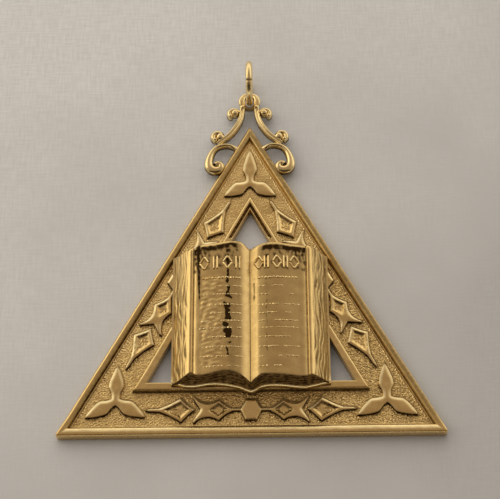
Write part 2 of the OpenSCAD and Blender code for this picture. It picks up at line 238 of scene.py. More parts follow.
castGilt = giltFinish("castGilt", gilt["gold"], gilt["warm"], 0.26, 0.06, 2.2, 0.006)
stippledGilt = giltFinish("stippledGilt", gilt["field"], gilt["fieldWarm"], 0.2, 0.05, 5.0, 0.03, punched=0.1)
reliefGilt = giltFinish("reliefGilt", gilt["gold"], gilt["warm"], 0.26, 0.05, 2.6, 0.007)
# the crest, the cover with its lines, and the ring take the lighter gilt copy as painted light
crestGilt = giltFinish("crestGilt", gilt["bright"], gilt["brightWarm"], 0.2, 0.05, 1.8, 0.012)
# the pages take the darker gilt copy as painted shade
pageGilt = giltFinish("pageGilt", gilt["page"], gilt["pageWarm"], 0.24, 0.05, 1.7, 0.006)
leafGilt = giltFinish("leafGilt", gilt["bright"], gilt["gold"], 0.22, 0.05, 2.4, 0.006)
wireGilt = giltFinish("wireGilt", gilt["bright"], gilt["gold"], 0.25, 0.04, 1.4, 0.004, 0.004)
rivetBrass = giltFinish("rivetBrass", gilt["rivet"], gilt["rivetWarm"], 0.38, 0.08, 3.0, 0.01, 0.01)
print("finishes made")


triangle = dict(
    width=76.0, height=69.0,
    top=2.5, field=1.4,
    toe=1.65, toeExtra=0.4,    # where the border's slope meets the field; how much further in along the base
    sideBand=8.37, baseBand=9.15, innerWidth=1.55,
    rebateWidth=0.5, rebateLedge=0.25, rebateDeep=0.9, rebateRun=6.6, ledgeDrop=0.35,
    tipReach=0.7, tipWear=0.45,
    innerSpread=0.22, innerDrop=0.25,
    rightShade=0.46, leftShade=0.3,    # painted shade on the two side borders
    baseHighlight=-0.7, innerHighlight=0.8,    # painted highlights: bright lines along the base and round the inner border
    baseSteps=330, sideSteps=345,
)
halfW, triH = triangle["width"] / 2, triangle["height"]
sideLen = math.hypot(halfW, triH)
sideTurn = math.atan2(triH, halfW)
innerSide = triangle["sideBand"] + triangle["innerWidth"]
innerBase = triangle["baseBand"] + triangle["innerWidth"]
baseExtra = triangle["baseBand"] - triangle["sideBand"]


def sideX(y, inset):
    return (halfW * (triH - y) - inset * sideLen) / triH


def innerShare(side):
    return min(1, max(0, (side - 4) / (triangle["sideBand"] - 4)))


def insetCorners(side, base):
    # the inner border's triangle is a little steeper than the outer one
    share = innerShare(side)
    x = sideX(base, side + triangle["innerSpread"] * share)
    apex = triH - (side - triangle["innerDrop"] * share) * sideLen / halfW
    return np.array([[-x, base], [x, base], [0, apex]])


def bandInset(side):
    # the border is a little wider along the base than along the sides
    extra, edge = triangle["toeExtra"], 0.7
    share = min(1, max(0, (side - edge) / (triangle["toe"] - edge)))
    return side + extra * share + (baseExtra - extra) * innerShare(side)


def triangleRing(insets, nBase, nSide):
    # one closed ring of points for each inset, base first, then the right and the left side
    grid = []
    for side in insets:
        left, right, apex = insetCorners(side, bandInset(side))
        ring = []
        for a, b, n in ((left, right, nBase), (right, apex, nSide), (apex, left, nSide)):
            t = np.arange(n)[:, None] / n
            ring.append(a + (b - a) * t)
        grid.append(np.vstack(ring))
    return np.array(grid)


def bluntTips(grid):
    # the three outer points are slightly worn
    reach = triangle["tipReach"]
    for tip in insetCorners(0, 0):
        inward = np.array([0, triH / 3]) - tip
        inward /= np.linalg.norm(inward)
        short = reach - (grid - tip) @ inward
        push = np.clip(short, 0, None) * triangle["tipWear"] * np.clip(short / reach, 0, 1)
        grid += push[..., None] * inward
    return grid


def frameProfile():
    # inset, height, height where the rebate runs, toning and painted shade
    t = triangle
    sunk = t["field"] - 0.25    # the stippled field is laid over this
    wall, hole = t["sideBand"], innerSide
    rebateIn = hole - t["rebateLedge"]
    rebateOut = rebateIn - t["rebateWidth"]
    low, ledge = t["top"] - t["rebateDeep"], t["top"] - t["ledgeDrop"]
    border = [
        # the darker foot of the outer wall is painted shade where it meets the floor
        (0.08, 0.0, 0.3), (0.0, 0.08, 0.2), (0.0, 0.8, 0.05), (0.0, 1.6, 0), (0.0, 2.15, 0), (0.04, 2.3, 0),
        (0.12, 2.4, 0), (0.24, 2.46, 0), (0.4, 2.495, 0), (0.58, 2.5, 0), (0.74, 2.49, 0), (0.88, 2.455, 0),
        (1.02, 2.4, 0), (1.15, 2.335, 0.05), (1.26, 2.26, 0.12), (1.34, 2.14, 0.3), (1.4, 1.97, 0.5),
        (1.46, 1.75, 0.75), (1.52, 1.57, 0.85), (1.58, 1.47, 0.4), (1.65, 1.43, 0), (1.74, 1.42, 0),
        (1.8, sunk, 0.3), (5.0, sunk, 0),
    ]
    # the dark values on the inner border's wall, on the rebate's floor and on the opening's wall are painted
    # shade
    innerBorder = [
        (-0.15, sunk, 0.9), (-0.05, 1.36, 0.9), (0, 1.6, 0.6), (0.01, 2.1, 0.6), (0.04, 2.28, 0.6),
        (0.13, 2.42, 0.1), (0.27, 2.495, 0), (0.45, 2.505, 0), (0.6, 2.5, 0),
    ]
    rebate = [
        (rebateOut - 0.02, 2.5, 2.5, 0), (rebateOut + 0.05, 2.5, low + 0.05, 0),
        (rebateOut + 0.11, 2.5, low, 0.9), (rebateIn - 0.11, 2.5, low, 0.9),
        (rebateIn - 0.05, 2.5, low + 0.05, 0.3), (rebateIn, 2.5, ledge, 0),
        (hole - 0.1, 2.49, ledge + 0.01, 0), (hole - 0.03, 2.45, ledge - 0.02, 0),
        (hole, 2.36, ledge - 0.1, 0),
    ]
    opening = [(hole, 1.6, 0.1), (hole, 0.8, 0.3), (hole, 0.1, 0.3), (hole - 0.08, 0, 0.3)]
    under = [(inset, 0, 0) for inset in (7.9, 6.4, 4.8, 3.0, 1.4)]
    rows = [(inset, high, high, dark) for inset, high, dark in border]
    rows += [(wall + inset, high, high, dark) for inset, high, dark in innerBorder]
    rows += rebate
    rows += [(inset, high, high, dark) for inset, high, dark in opening + under]
    return np.array(rows, float).T[..., None]


def buildFrameBody():
    t = triangle
    inset, high, deep, dark = frameProfile()
    nBase, nSide = t["baseSteps"], t["sideSteps"]
    grid = bluntTips(triangleRing(inset[:, 0], nBase, nSide))
    x, y = grid[..., 0], grid[..., 1]
    rows, cols = x.shape
    col = np.arange(cols)
    onBase = col < nBase
    wall = t["sideBand"]
    leftSide = smooth(-1, 1, -x)
    fromCorner = smooth(0, 22, np.minimum(np.clip(col - nBase, 0, None), cols - col))
    rebateEnd = insetCorners(innerSide, innerBase)[2][1] - t["rebateRun"]
    inRebate = smooth(rebateEnd - 0.12, rebateEnd + 0.12, y)
    # edge band that is worn round and also carries a painted highlight
    edgeWearAndHighlight = (inset > wall + 0.005) & (inset < wall + 0.7)
    fromEdge = inset - wall

    rebateRows = (high != deep) & (inset < innerSide - t["rebateLedge"] + 0.001)
    # the profile's toning and painted shade, on the rebate rows only where the rebate runs
    tone = np.where(rebateRows, dark * inRebate, dark)
    innerWall = (fromEdge > -0.25) & (fromEdge < 0.05)
    tone = np.where(innerWall & ~onBase, tone * 0.3, tone)    # painted shade: the dark foot shows along the base only
    groove = (inset > 1.3) & (inset < 1.6)
    tone = np.where(groove, tone * (1 - 0.6 * smooth(30, 62, y)), tone)    # less dirt towards the apex
    # painted shade: the right border's outer edge is darker
    tone = tone + t["rightShade"] * (1 - leftSide) * fromCorner * smooth(0.05, 0.3, inset) * (inset < 1.1)
    # painted highlight: a bright line along the base border
    tone = np.where(onBase & (inset > 0.72) & (inset < 1.3), t["baseHighlight"], tone)
    # painted shade: the left border's inner slope is darker
    tone = tone + t["leftShade"] * leftSide * fromCorner * smooth(0.7, 1.0, inset) * (inset < 1.5)

    z = high + (deep - high) * inRebate
    wearAndHighlight = np.clip(1 - inset / 0.62, 0, 1) ** 1.6 * (0.07 + 0.27 * leftSide)    # rounded off outwards
    wearAndHighlight = wearAndHighlight + np.where(edgeWearAndHighlight, 0.15 * np.clip(1 - fromEdge / 0.62, 0, 1) ** 1.5, 0)
    z = z - wearAndHighlight * fromCorner * (z > 2)
    # painted highlight round the inner border's edge
    bright = t["innerHighlight"] * np.clip(1 - fromEdge / 0.5, 0, 1)
    tone = tone - np.where(edgeWearAndHighlight & (z > 2.1), bright, 0) * fromCorner
    sway = 0.014 * waves(x, y, 5.5, 14, 11) + 0.006 * waves(x, y, 1.9, 14, 12)    # cast and buffed by hand
    z = z + sway * smooth(1.9, 2.4, z)
    backSway = 0.012 * (1 + waves(x, y, 7.0, 12, 13) / 3)
    z = np.where(z < 0.01, np.clip(backSway, 0, 0.03), z)
    return np.stack([x, y, z], -1).reshape(-1, 3), gridFaces(rows, cols, True, True), tone.reshape(-1)


print("frame body")
frameBody = addPiece("frameBody", buildFrameBody(), castGilt, 38)
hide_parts("frame")


def wayTo(points, loop):
    # distance of each point to a closed outline, and the direction of its nearest spot
    ab = np.roll(loop, -1, 0) - loop
    length = (ab ** 2).sum(1)
    best, way = np.full(len(points), 1e9), np.zeros((len(points), 2))
    for start, side, square in zip(loop, ab, length):
        t = np.clip(((points - start) @ side) / square, 0, 1)
        gap = start + t[:, None] * side - points
        d = np.linalg.norm(gap, axis=1)
        nearer = d < best
        outward = (side[1], -side[0]) / np.sqrt(square)
        best[nearer] = d[nearer]
        way[nearer] = np.where(d[nearer, None] > 1e-4, gap[nearer] / (d[nearer, None] + 1e-9), outward)
    return best, way


def distanceTo(points, loop):
    return wayTo(points, loop)[0]


def inside(points, loop):
    x, y = points[:, 0], points[:, 1]
    result = np.zeros(len(points), bool)
    for (x0, y0), (x1, y1) in zip(loop, np.roll(loop, -1, 0)):
        crosses = (y0 > y) != (y1 > y)
        rise = y1 - y0 if y1 != y0 else 1e-9
        result ^= crosses & (x < (x1 - x0) * (y - y0) / rise + x0)
    return result


def evenLoop(points, step):
    # the same closed outline with a point about every step, corners kept
    loop = []
    for p, q in zip(points, points[1:] + points[:1]):
        n = max(1, int(math.ceil(math.dist(p, q) / step)))
        loop += [(p[0] + (q[0] - p[0]) * i / n, p[1] + (q[1] - p[1]) * i / n) for i in range(n)]
    return np.array(loop)


def leftTurning(loop):
    area = np.sum(loop[:, 0] * np.roll(loop[:, 1], -1) - np.roll(loop[:, 0], -1) * loop[:, 1])
    return loop if area > 0 else loop[::-1]


def insetPoints(loop, by):
    # points moved in from the outline, left out where they come too near another side
    along = np.roll(loop, -1, 0) - np.roll(loop, 1, 0)
    normal = np.stack([-along[:, 1], along[:, 0]], 1)
    normal /= np.linalg.norm(normal, axis=1)[:, None] + 1e-9
    inner = loop + normal * by
    keep = inside(inner, loop) & (distanceTo(inner, loop) > by * 0.93)
    return inner[keep]


def fillPoints(loop, hole, bevel, pitBevel, fill):
    # points spread over the middle of an outline, every other row shifted
    low, high = loop.min(0), loop.max(0)
    gx, gy = np.meshgrid(np.arange(low[0], high[0], fill), np.arange(low[1], high[1], fill))
    gx[1::2] += fill / 2
    spots = np.stack([gx.ravel(), gy.ravel()], 1)
    spots = spots[inside(spots, loop)]
    spots = spots[distanceTo(spots, loop) > bevel * 1.3]
    return spots if hole is None else spots[distanceTo(spots, hole) > pitBevel * 0.6]


def domeTop(t):
    # steep foot, then a broad sloped shoulder that runs out into the flat top
    return np.interp(t, (0, 0.05, 0.1, 0.16, 0.3, 0.5, 0.7, 0.88, 1.0, 1.15),
                     (0, 0.4, 0.63, 0.75, 0.805, 0.865, 0.92, 0.965, 0.99, 1.0))


ornament = dict(
    high=0.74, bevel=0.66, stemHalf=0.36, sunk=0.04, root=0.22,
    pitDeep=0.36, pitBevel=0.66,
    hexagon=[(2.2, 0.0), (1.16, 2.22), (-1.16, 2.22), (-2.2, 0.0), (-1.16, -2.22), (1.16, -2.22)],
    hexagonBevel=0.5, hexagonExtra=0.04,
    petalBevel=0.75, petalLean=0.03, topTaller=0.5, topSides=0.9,
    upPetal=[(0.5, 0.87), (1.1, 0.86), (1.7, 1.02), (2.4, 1.34), (3.1, 1.53), (4.2, 1.4), (5.5, 0.98),
             (6.6, 0.52), (7.45, 0.0)],
    sidePetal=[(0.5, 0.87), (1.1, 0.96), (1.7, 1.18), (2.3, 1.44), (2.9, 1.58), (3.9, 1.4), (5.1, 0.98),
               (6.1, 0.52), (6.95, 0.0)],
    corner=(26.45, 7.15), topY=55.4,
    baseReach=20.7, baseDown=0.25, baseTall=1.05, sideReach=21.6, sideDown=2.3, sideTall=0.98,
    # darkness of the dirt and painted shade round the foot of each kind of ornament
    chainDirtAndShade=0.75, bossDirtAndShade=0.85, leafDirtAndShade=0.6,
)


def relief(outline, bevel, high=ornament["high"], recess=None, step=0.16, fill=0.34):
    # closed solid with sloped, rounded sides over any outline, with a sunk middle where a recess is given
    o = ornament
    foot, root = triangle["field"] - o["sunk"], triangle["field"] - o["root"]
    loop, hole = leftTurning(evenLoop(outline, step)), None
    clouds = [insetPoints(loop, bevel * k) for k in (0.16, 0.42, 0.72, 1.0)]
    edges = [(i, (i + 1) % len(loop)) for i in range(len(loop))]
    fixed = [loop]
    if recess is not None:
        hole = evenLoop(recess, step)
        first = len(loop)
        edges += [(first + i, first + (i + 1) % len(hole)) for i in range(len(hole))]
        fixed.append(hole)
        clouds += [insetPoints(leftTurning(hole), o["pitBevel"] * k) for k in (0.5, 1.0)]
    spots = fillPoints(loop, hole, bevel, o["pitBevel"], fill)
    cloud = np.vstack(fixed + [c for c in clouds if len(c)] + [spots])
    points, _, triangles = geometry.delaunay_2d_cdt([Vector(p) for p in cloud], edges, [], 1, 1e-6)[:3]
    flat = np.array([tuple(v) for v in points])

    d, way = wayTo(flat, loop)
    z = foot + high * domeTop(d / bevel)
    thinToe, broadToe = (1 - smooth(0.5 * reach, reach, d) for reach in (0.08, 0.24))
    # shoulder band that carries wear and painted highlight
    wearAndHighlight = 1.3 * smooth(0.06, 0.16, d) * (1 - smooth(0.6, 1.0, d / bevel))
    pit, pitWay = np.zeros(len(flat)), way
    if hole is not None:
        within = inside(flat, hole)
        dh, pitWay = wayTo(flat, hole)
        z = z - np.where(within, o["pitDeep"] * smooth(-0.12, 1.0, dh / o["pitBevel"]), 0)
        punched = 0.05 * waves(flat[:, 0], flat[:, 1], 0.5, 14, 33)
        z = z + np.where(within & (dh > o["pitBevel"] * 0.7), punched, 0)
        pit = np.where(within, smooth(0.04, 0.16, dh) * (1 - 0.9 * smooth(0.45, 0.75, dh)), 0)
    z = z + 0.01 * waves(flat[:, 0], flat[:, 1], 2.2, 10, 31) * smooth(0, bevel, d)

    rim = nearestRim(flat, loop)
    base = {v: len(flat) + i for i, v in enumerate(rim)}
    verts = np.vstack([np.column_stack([flat, z]), np.column_stack([flat[rim], np.full(len(rim), root)])])
    faces = [tuple(f) for f in triangles]
    faces += [(b, a, base[a], base[b]) for a, b in zip(rim, rim[1:] + rim[:1])]
    faces.append(tuple(base[v] for v in reversed(rim)))
    order = list(range(len(flat))) + rim
    return verts, faces, [np.array(v)[order] for v in (way, thinToe, broadToe, wearAndHighlight, pitWay, pit)]


def nearestRim(flat, loop):
    # the outline's own points, in order, among the mesh's points
    found = []
    for p in loop:
        i = int(np.argmin(((flat - p) ** 2).sum(1)))
        if not found or found[-1] != i:
            found.append(i)
    return found if found[0] != found[-1] else found[:-1]


def moved(points, spot, turn=0.0, flip=False):
    c, s = math.cos(turn), math.sin(turn)
    points = np.array(points, float)
    x, y = points[:, 0] * (-1 if flip else 1), points[:, 1]
    return np.column_stack([spot[0] + c * x - s * y, spot[1] + s * x + c * y, points[:, 2:]])


def placed(shape, spot, turn=0.0, flip=False):
    # the lower edges and the upper walls of the pits are darker, as painted shade; a thin toning line runs
    # round the foot, and the other edges get a painted highlight
    verts, faces, (way, thinToe, broadToe, wearAndHighlight, pitWay, pit) = shape
    c, s = math.cos(turn), math.sin(turn)
    side = -1 if flip else 1
    lower = np.clip(-(s * way[:, 0] * side + c * way[:, 1]), 0, 1)
    upper = np.clip(0.1 + (s * pitWay[:, 0] * side + c * pitWay[:, 1]), 0, 1)
    across = c * way[:, 0] * side - s * way[:, 1]
    # painted shade on the lower edges, a thin toning line round the foot
    tone = np.maximum(0.6 * thinToe, broadToe * smooth(0.1, 0.6, lower))
    brighter = 0.8 - 0.5 * np.clip(across, -0.5, 0.6)    # painted highlight, most along the left edges
    tone = np.where((tone < 0.02) & (pit < 0.02), -wearAndHighlight * brighter * np.clip(1 - 1.3 * lower, 0, 1), tone)
    # painted shade on the upper walls of the pits
    tone = np.where(pit > 0.02, np.maximum(tone, 0.85 * pit * upper), tone)
    return moved(verts, spot, turn, flip), faces, tone


def hollowCurve(p, q, sag, n=14):
    # curve from p to q that bends to the right of its chord
    dx, dy = q[0] - p[0], q[1] - p[1]
    points = []
    for i in range(n):
        t = i / n
        off = 4 * sag * t * (1 - t) / math.hypot(dx, dy)
        points.append((p[0] + dx * t + dy * off, p[1] + dy * t - dx * off))
    return points


def mirrored(points):
    # lower half first, then the upper half back, with shared ends written once
    return [(x, -y) for x, y in points] + [p for p in reversed(points) if abs(p[1]) > 1e-6]


def tailedLozenge(reach, tall):
    # next to the hexagon: stem, body with a sunk middle, and two spread tails
    k, stem = reach / ornament["baseReach"], ornament["stemHalf"]
    half = [(1.5, stem), (3.4 * k, stem)]
    half += hollowCurve((3.65 * k, stem + 0.05), (6.25 * k, 2.18 * tall), 0.16)
    half += hollowCurve((6.25 * k, 2.18 * tall), (11.15 * k, 2.75 * tall), 1.0)
    half += [(11.15 * k, 2.75 * tall), (11.4 * k, 2.3 * tall), (9.95 * k, 0.0)]
    pit = [(4.25 * k, 0), (6.3 * k, 1.5 * tall), (8.5 * k, 0), (6.3 * k, -1.5 * tall)]
    return mirrored(half), pit


def longLozenge(reach, tall):
    # outer lozenge, drawn out into a thin stem
    k = reach / ornament["baseReach"]
    half = [(10.85 * k, 0.0)]
    half += hollowCurve((10.85 * k, 0.0), (13.6 * k, 2.5 * tall), 0.1)[1:]
    half += hollowCurve((13.6 * k, 2.5 * tall), (17.9 * k, 0.42), 0.16)
    half += [(17.9 * k, 0.42), (19.8 * k, 0.34), (20.85 * k, 0.0)]
    pit = [(11.75 * k, 0), (13.65 * k, 1.75 * tall), (17.4 * k, 0), (13.65 * k, -1.75 * tall)]
    return mirrored(half), pit


def splineThrough(points, n=5):
    path = []
    pts = [points[0]] + points + [points[-1]]
    for i in range(1, len(pts) - 2):
        p0, p1, p2, p3 = (np.array(p) for p in pts[i - 1:i + 3])
        for j in range(n):
            t = j / n
            bend = (2 * p0 - 5 * p1 + 4 * p2 - p3) * t * t + (3 * p1 - p0 - 3 * p2 + p3) * t ** 3
            path.append(tuple(0.5 * (2 * p1 + (p2 - p0) * t + bend)))
    return path + [points[-1]]


def trefoil(lean=0.0, sides=1.0, taller=0.0):
    # three petals, the upper one upright
    outline = []
    for n, degrees in enumerate((90, 210, 330)):
        half = splineThrough(ornament["sidePetal" if n else "upPetal"], 4)
        if n:
            half = [(x if x < 1.2 else 1.2 + (x - 1.2) * sides, y) for x, y in half]
        else:
            half = [(x + taller * max(0, (x - 4) / 3.5), y) for x, y in half]
        petal = [(x, -y) for x, y in half] + half[-2::-1]
        petal = [(x, y - (0 if n else lean) * max(0, x - 1.0)) for x, y in petal]
        outline += [tuple(p) for p in moved(petal, (0, 0), math.radians(degrees))]
    cleaned = []
    for p in outline:
        if not cleaned or math.dist(p, cleaned[-1]) > 0.02:
            cleaned.append(p)
    return cleaned if math.dist(cleaned[0], cleaned[-1]) > 0.02 else cleaned[:-1]


def ornamentPieces():
    t, o = triangle, ornament
    bandMid, baseMid = (t["toe"] + t["sideBand"]) / 2, (t["toe"] + t["baseBand"]) / 2
    midY = triH / 2 - o["sideDown"] * math.sin(sideTurn)
    midX = sideX(midY, bandMid)
    places = [    # middle of each chain, its turn, how far it runs, and how tall it is
        ((0, baseMid - o["baseDown"]), 0.0, o["baseReach"], o["baseTall"]),
        ((midX, midY), math.pi - sideTurn, o["sideReach"], o["sideTall"]),
        ((-midX, midY), math.pi + sideTurn, o["sideReach"], o["sideTall"]),
    ]
    chains, bosses, leaves, outlines = Shells(), Shells(), Shells(), []
    for spot, turn, reach, tall in places:
        for outline, pit in (tailedLozenge(reach, tall), longLozenge(reach, tall)):
            shape = relief(outline, o["bevel"], recess=pit, fill=0.24)
            for flip in (False, True):
                chains.add(*placed(shape, spot, turn, flip))
                outlines.append((moved(outline, spot, turn, flip), o["chainDirtAndShade"]))
        boss = relief(o["hexagon"], o["hexagonBevel"], o["high"] + o["hexagonExtra"])
        bosses.add(*placed(boss, spot, turn))
        outlines.append((moved(o["hexagon"], spot, turn), o["bossDirtAndShade"]))
    x, y = o["corner"]
    corners = (((x, y), trefoil(-o["petalLean"])), ((-x, y), trefoil(o["petalLean"])),
               ((0, o["topY"]), trefoil(0.0, o["topSides"], o["topTaller"])))
    for spot, outline in corners:
        leaves.add(*placed(relief(outline, o["petalBevel"], step=0.14, fill=0.3), spot))
        outlines.append((moved(outline, spot), o["leafDirtAndShade"]))
    return chains, bosses, leaves, outlines


print("relief ornament")
chains, bosses, leaves, outlines = ornamentPieces()
addPiece("bandChains", chains.shape(), reliefGilt, 50)
addPiece("hexBosses", bosses.shape(), reliefGilt, 40)
addPiece("cornerTrefoils", leaves.shape(), reliefGilt, 50)


ground = dict(
    outer=1.7, step=0.13, baseSteps=500, sideSteps=510, overlap=0.03, depth=0.3,
    grainSize=0.3, grainHigh=0.13, faint=0.55,
    lipAt=2.02, lipWide=0.15, lipHigh=0.13, beadHigh=0.04, beadSteps=4.0,
    # dirt between the grains, heavier to the right as painted shade; painted shade at the foot of the inner
    # border, heaviest along the base
    leftDirtAndShade=0.12, rightDirtAndShade=0.66, baseFoot=0.8, sideFoot=0.25,
)


def pebbles(x, y, size, seed):
    # small rounded grains, one to a cell and out of line, as a punched ground has
    rng = np.random.default_rng(seed)
    table = rng.uniform(0, 1, (97, 89, 3))
    i0, j0 = np.floor(x / size).astype(int), np.floor(y / size).astype(int)
    best = np.zeros(np.shape(x))
    for di in (-1, 0, 1):
        for dj in (-1, 0, 1):
            i, j = i0 + di, j0 + dj
            r = table[i % 97, j % 89]
            cx, cy = (i + 0.15 + 0.7 * r[..., 0]) * size, (j + 0.15 + 0.7 * r[..., 1]) * size
            reach = size * (0.48 + 0.22 * r[..., 2])
            d2 = ((x - cx) ** 2 + (y - cy) ** 2) / reach ** 2
            best = np.maximum(best, (0.55 + 0.45 * r[..., 2]) * np.clip(1 - d2, 0, 1))
    return best


def footDirtAndShade(x, y, outlines):
    # dirt and painted contact shade lie along the foot of the ornament, most above it
    spots = np.stack([x.ravel(), y.ravel()], 1)
    dirtAndShade = np.zeros(len(spots))
    for outline, dark in outlines:
        near = np.all((spots > outline.min(0) - 0.7) & (spots < outline.max(0) + 0.7), axis=1)
        d, way = wayTo(spots[near], outline)
        above = np.clip(0.3 - 0.6 * way[:, 1] - 0.35 * way[:, 0], 0.1, 1)
        reach = 0.26 + 0.2 * np.clip(-way[:, 1], 0, 1)
        dirtAndShade[near] = np.maximum(dirtAndShade[near], dark * above * (1 - smooth(0.5 * reach, reach, d)))
    return dirtAndShade.reshape(x.shape)


def buildField(outlines):
    g = ground
    inner, outer = triangle["sideBand"] - g["overlap"], g["outer"]
    count = int(round((inner - outer) / g["step"]))
    insets = [outer] + [outer + (inner - outer) * i / count for i in range(count + 1)] + [inner]
    grid = triangleRing(insets, g["baseSteps"], g["sideSteps"])
    x, y = grid[..., 0], grid[..., 1]
    col = np.arange(x.shape[1])
    inset = np.array(insets)[:, None]
    onBase = col < g["baseSteps"]
    grains = pebbles(x, y, g["grainSize"], 21)
    edge = between(inset, outer, outer + 0.3, inner - 0.3, inner)
    softer = 1 - g["faint"] * smooth(34, 52, y)    # the punching is fainter towards the apex
    beads = np.cos(2 * math.pi * col / g["beadSteps"])
    lip = np.where(onBase, 0, stripe(inset, g["lipAt"], g["lipWide"]))

    z = triangle["field"] + g["grainHigh"] * (grains - 0.35) * edge * softer
    z = z + 0.02 * waves(x, y, 4.0, 12, 23)
    z = z + lip * (g["lipHigh"] + g["beadHigh"] * beads)    # beaded lip inside the side borders
    z[0] = z[-1] = triangle["field"] - g["depth"]

    # painted shade along the foot of the inner border, heaviest along the base
    foot = np.where(onBase, g["baseFoot"], g["sideFoot"]) * smooth(inner - 0.34, inner - 0.12, inset)
    # dirt between the grains, growing to the right as painted shade
    dirtAndShade = g["leftDirtAndShade"] + (g["rightDirtAndShade"] - g["leftDirtAndShade"]) * smooth(-12, 12, x)
    tone = np.maximum(foot, dirtAndShade * smooth(0.3, 0.0, grains) * edge * softer * (1 - lip))
    # painted highlight on the beaded lip
    tone = np.where(lip > 0.3, -lip * (0.6 + 0.4 * beads), tone)
    moat = footDirtAndShade(x, y, outlines)
    tone = np.where(moat > 0.02, np.maximum(tone, moat), tone)
    verts = np.stack([x, y, z], -1).reshape(-1, 3)
    return (verts, gridFaces(len(insets), x.shape[1], True, True), tone.reshape(-1)), softer.reshape(-1)


print("stippled field")
shape, grain = buildField(outlines)
stippledField = addPiece("stippledField", shape, stippledGilt, 60)
setValues(stippledField.data, "grain", grain)


crest = dict(
    mid=2.35, thick=1.6,
    eyeRise=5.85, eyeR=2.3, eyeGap=0.94, eyeTop=1.3, eyeFoot=1.44, eyeWire=0.5,
    cheekThick=0.74, footThick=0.43, footThin=0.1,
    # right half, heights from the triangle's apex; each path has its own widths
    arm=[(1.5, 4.6), (1.5, 3.8), (1.6, 2.95), (1.8, 1.9), (2.12, 0.9), (2.55, 0.0), (3.05, -0.85),
         (3.65, -1.75), (4.35, -2.55), (5.2, -3.3), (6.0, -3.95), (6.7, -4.5)],
    armWide=[1.2, 1.15, 1.25, 1.3, 1.25, 1.15, 1.1],
    side=[(2.75, -5.8), (3.3, -5.4), (3.9, -5.12), (4.6, -4.95), (5.5, -4.92), (6.5, -5.15), (7.35, -5.75),
          (8.0, -6.7), (8.45, -7.9), (8.62, -9.05), (8.45, -9.95), (7.95, -10.55), (7.25, -10.8),
          (6.55, -10.7), (6.1, -10.25), (6.05, -9.75), (6.35, -9.35), (6.85, -9.3), (7.2, -9.6)],
    sideWide=[1.05, 0.95, 0.9, 1.0, 1.15, 1.35, 1.65, 1.95, 2.05, 1.85, 1.6, 1.45, 1.35, 1.3],
    hooks=[    # middle, start, end, ball's middle, ball's radius
        ((3.35, 2.78), 165, -40, (3.1, 3.0), 0.84),
        ((6.8, -2.8), 215, -55, (6.2, -2.85), 0.9),
    ],
    hookR=0.92, hookWide=[1.25, 1.3, 1.3, 1.15], tipBall=0.56,
    joint=(1.42, 4.3), jointR=0.66,
    # half sections of the bands from the foot to the middle: two ridges with a groove, and a plain dome
    ridged=[(0.42, -0.5), (0.5, -0.42), (0.5, 0.14), (0.475, 0.28), (0.41, 0.385), (0.32, 0.44),
            (0.22, 0.445), (0.12, 0.385), (0.0, 0.32)],
    domed=[(0.42, -0.5), (0.5, -0.42), (0.5, 0.0), (0.48, 0.1), (0.435, 0.2), (0.365, 0.295), (0.27, 0.38),
           (0.15, 0.45), (0.0, 0.485)],
    ball=[(0.97, -0.44), (1.0, -0.2), (1.0, 0.1), (0.95, 0.24), (0.84, 0.38), (0.68, 0.48), (0.48, 0.56),
          (0.25, 0.6)],
)


def arcPath(center, r, start, end, step=0.14):
    n = max(3, int(abs(math.radians(end - start)) * r / step))
    turns = [math.radians(start + (end - start) * i / n) for i in range(n + 1)]
    return [(center[0] + r * math.cos(a), center[1] + r * math.sin(a)) for a in turns]


# painted shade on the walls and low sides, a darker groove, painted highlight over the tops
def bandTone(u, v, grooved):
    if v < 0.05:
        return 0.85    # painted shade on the walls
    if grooved and abs(u) < 0.05:
        return 0.3
    if v < 0.2:
        return 0.35
    return -0.5 if grooved else -0.2


def sweptBand(path, widths, kind, sunkStart=False):
    path = np.array(path)
    n = len(path)
    widths = np.interp(np.linspace(0, 1, n), np.linspace(0, 1, len(widths)), widths)
    along = np.gradient(path, axis=0)
    along /= np.linalg.norm(along, axis=1)[:, None]
    normal = np.stack([-along[:, 1], along[:, 0]], 1)
    half = crest[kind]
    section = half + [(-u, v) for u, v in reversed(half) if u > 0]
    verts, tone = [], []
    for i in range(n):
        rise = min(1, 0.1 + i / 14) if sunkStart else 1    # the end that runs under the border's edge is low
        for u, v in section:
            p = path[i] + normal[i] * u * widths[i]
            verts.append((p[0], p[1], crest["mid"] + v * crest["thick"] * (rise if v > 0 else 1)))
            tone.append(bandTone(u, v, kind == "ridged"))
    return verts, tubeFaces(n, len(section)), tone


def ball(center, r):
    # small domed end of a curl
    n = 24
    turns = [2 * math.pi * i / n for i in range(n)]
    verts = [(center[0] + r * a * math.cos(turn), center[1] + r * a * math.sin(turn),
              crest["mid"] + crest["thick"] * b) for a, b in crest["ball"] for turn in turns]
    # painted shade under the ball, painted highlight over its top
    tone = [0.7 if b < 0 else -0.4 for a, b in crest["ball"] for _ in turns]
    return verts, tubeFaces(len(crest["ball"]), n), tone


def buildCrest():
    c = crest
    shells = Shells()

    def lifted(*points):
        return [(x, y + triH) for x, y in points]

    parts = [
        sweptBand(splineThrough(lifted(*c["arm"]), 5), c["armWide"], "ridged"),
        sweptBand(splineThrough(lifted(*c["side"]), 6), c["sideWide"], "domed", True),
    ]
    for center, start, end, ballAt, ballR in c["hooks"]:
        path = arcPath(*lifted(center), c["hookR"], start, end)
        parts += [sweptBand(path, c["hookWide"], "domed"), ball(path[-1], c["tipBall"]),
                  ball(*lifted(ballAt), ballR)]
    parts.append(ball(*lifted(c["joint"]), c["jointR"]))    # lump where the arm meets the eye
    for verts, faces, tone in parts:
        shells.add(verts, faces, tone)
        shells.add([(-x, y, z) for x, y, z in verts], faces, tone)
    return shells.shape()


def power(v, exponent):
    return math.copysign(abs(v) ** exponent, v)


